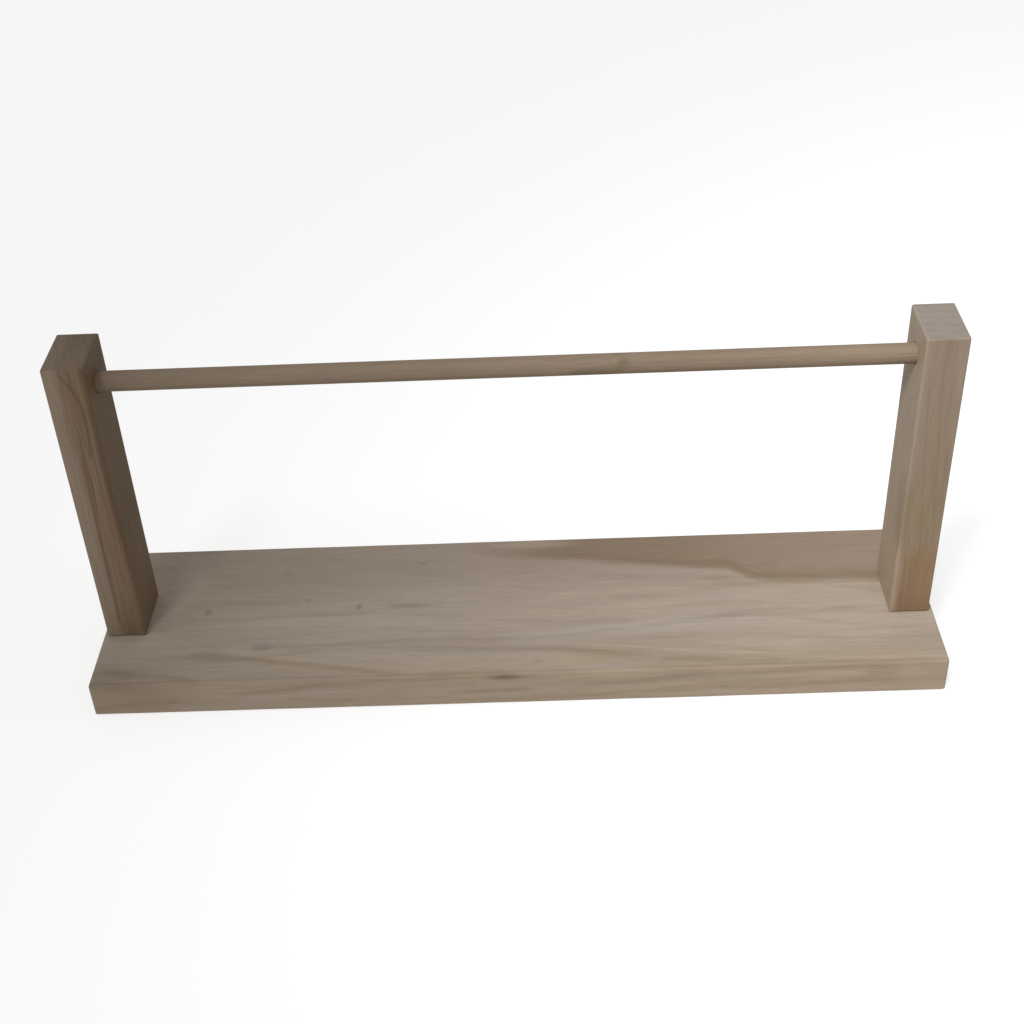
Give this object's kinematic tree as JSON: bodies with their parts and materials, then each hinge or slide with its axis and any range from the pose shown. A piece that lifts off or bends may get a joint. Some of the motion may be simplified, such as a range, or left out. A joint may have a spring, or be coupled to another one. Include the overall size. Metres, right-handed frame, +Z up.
{
  "type": "ribbon spool dispenser",
  "caption": "Plain wooden stand for ribbon spools: a flat base board, an upright post at each end, and a round rod between them that draws out sideways.",
  "frame": {"origin": "middle of the base board's underside", "axes": "+X along the board from the left post to the right post, +Y from front to back, +Z up"},
  "size_m": [0.4064, 0.1032, 0.1715],
  "materials": {
    "base_wood": "bare sanded pale hardwood, grey-brown with darker heartwood streaks, matt",
    "post_wood": "bare sanded pale hardwood, brown with darker streaks along the grain, matt",
    "rod_wood": "bare turned hardwood dowel, matt",
    "screw_steel": "zinc-plated steel, satin"
  },
  "bodies": {
    "root": {"base_board": "base_wood", "left_post": "post_wood", "right_post": "post_wood", "left_front_screw": "screw_steel", "left_back_screw": "screw_steel", "right_front_screw": "screw_steel", "right_back_screw": "screw_steel"},
    "rod": {"spool_rod": "rod_wood"}
  },
  "joints": [
    {"name": "rod_draw", "type": "slide", "parent": "root", "child": "rod", "axis": [1, 0, 0], "range_m": [0, 0.41]}
  ]
}
